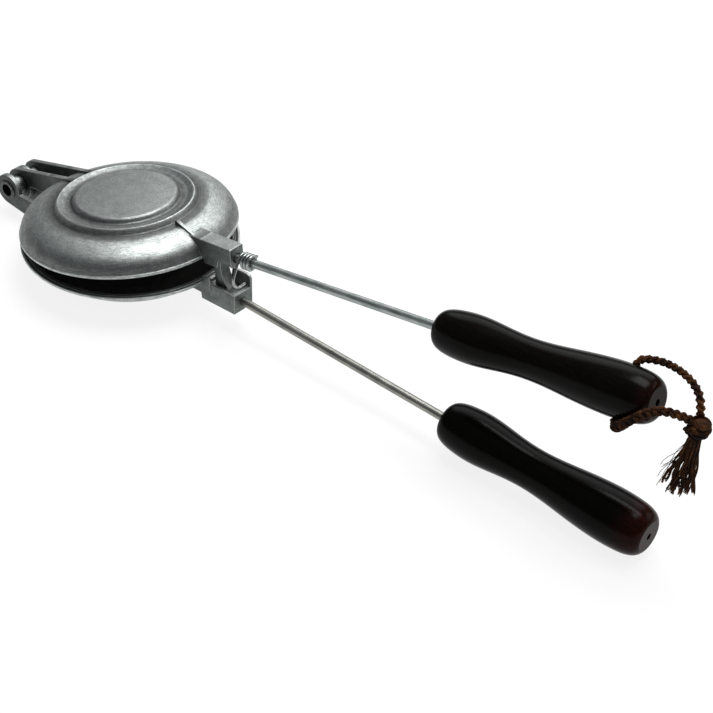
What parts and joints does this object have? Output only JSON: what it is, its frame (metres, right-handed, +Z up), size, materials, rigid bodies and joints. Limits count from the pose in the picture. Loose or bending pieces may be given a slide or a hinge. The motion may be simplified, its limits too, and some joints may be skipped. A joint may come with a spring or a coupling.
{
  "type": "jaffle iron",
  "caption": "Round long-handled jaffle iron: two hinged cast dishes, steel rods, turned wooden handles, a spring wire catch and a hanging cord.",
  "frame": {"origin": "centre of the bounding box at the surface the iron lies on, the cord left out", "axes": "+X from the hinge towards the handles, +Z up, the hinge pin along Y"},
  "size_m": [0.4968, 0.13, 0.1156],
  "materials": {
    "cast_aluminium": "as cast, lightly tumbled",
    "bright_steel": "turned",
    "plated_steel": "bright zinc plate",
    "spring_wire": "drawn",
    "lacquered_wood": "dark gloss lacquer",
    "brown_cord": "plaited"
  },
  "bodies": {
    "lower": {"lower_dish": "cast_aluminium", "hinge_pin": "bright_steel", "hinge_washer": "bright_steel", "near_spacer": "bright_steel", "far_spacer": "bright_steel", "lower_rod": "plated_steel", "lower_rod_pin": "bright_steel", "lower_washer": "plated_steel", "lower_handle": "lacquered_wood"},
    "upper": {"upper_dish": "cast_aluminium", "upper_rod": "plated_steel", "upper_rod_pin": "bright_steel", "upper_washer": "plated_steel", "upper_handle": "lacquered_wood", "cord_in_handle": "brown_cord", "cord_near_strand": "brown_cord", "cord_far_strand": "brown_cord", "cord_knot": "brown_cord", "cord_tassel": "brown_cord"},
    "catch": {"catch_spring": "spring_wire"}
  },
  "joints": [
    {"name": "iron_hinge", "type": "hinge", "parent": "lower", "child": "upper", "pos_m": [-0.22738, 0, 0.01782], "axis": [0, -1, 0], "range_deg": [-5.4, 170]},
    {"name": "catch_swing", "type": "hinge", "parent": "upper", "child": "catch", "pos_m": [-0.04296, 0, 0.04873], "axis": [0.9842, 0, 0.177], "range_deg": [-120, 33]}
  ]
}
